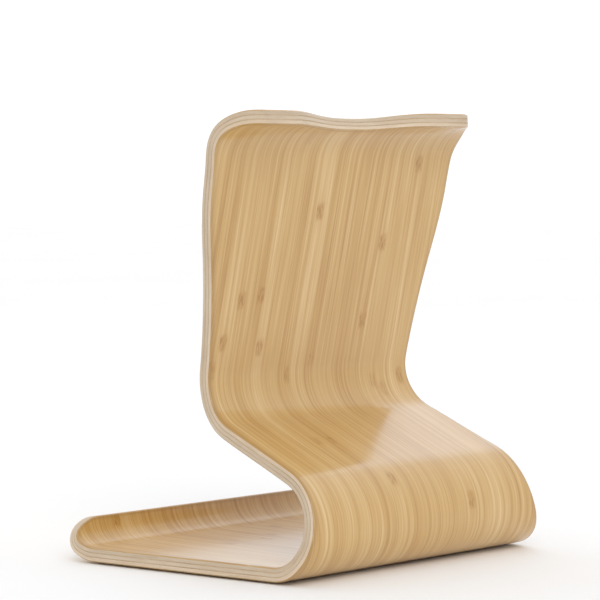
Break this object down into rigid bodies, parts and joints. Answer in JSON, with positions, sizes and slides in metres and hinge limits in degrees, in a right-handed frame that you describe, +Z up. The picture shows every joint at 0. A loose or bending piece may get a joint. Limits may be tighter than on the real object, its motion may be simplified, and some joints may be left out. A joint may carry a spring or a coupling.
{
  "type": "phone stand",
  "caption": "Desk stand bent from one bamboo-faced laminated sheet, with a low lip, flat base, rear bend, narrow waist and leaning wave-topped backrest.",
  "frame": {"origin": "centre of the bounding box, on the plane that the pads rest on", "axes": "+Z up, +Y towards the rear bend, away from the lip, +X across the sheet, to the right of somebody who faces the lip"},
  "size_m": [0.1658, 0.1108, 0.1683],
  "materials": {
    "bamboo_face": "clear satin lacquer over vertical-grain bamboo veneer",
    "birch_core": "sanded ply edge, clear lacquer",
    "cross_grain": "sanded cross-grain ply edge, clear lacquer",
    "pad_rubber": "matt"
  },
  "bodies": {
    "root": {"bamboo_back_veneer": "bamboo_face", "back_core_ply": "birch_core", "back_cross_ply": "cross_grain", "middle_core_ply": "birch_core", "front_cross_ply": "cross_grain", "front_core_ply": "birch_core", "bamboo_front_veneer": "bamboo_face", "front_right_pad": "pad_rubber", "front_left_pad": "pad_rubber", "rear_right_pad": "pad_rubber", "rear_left_pad": "pad_rubber"}
  },
  "joints": []
}
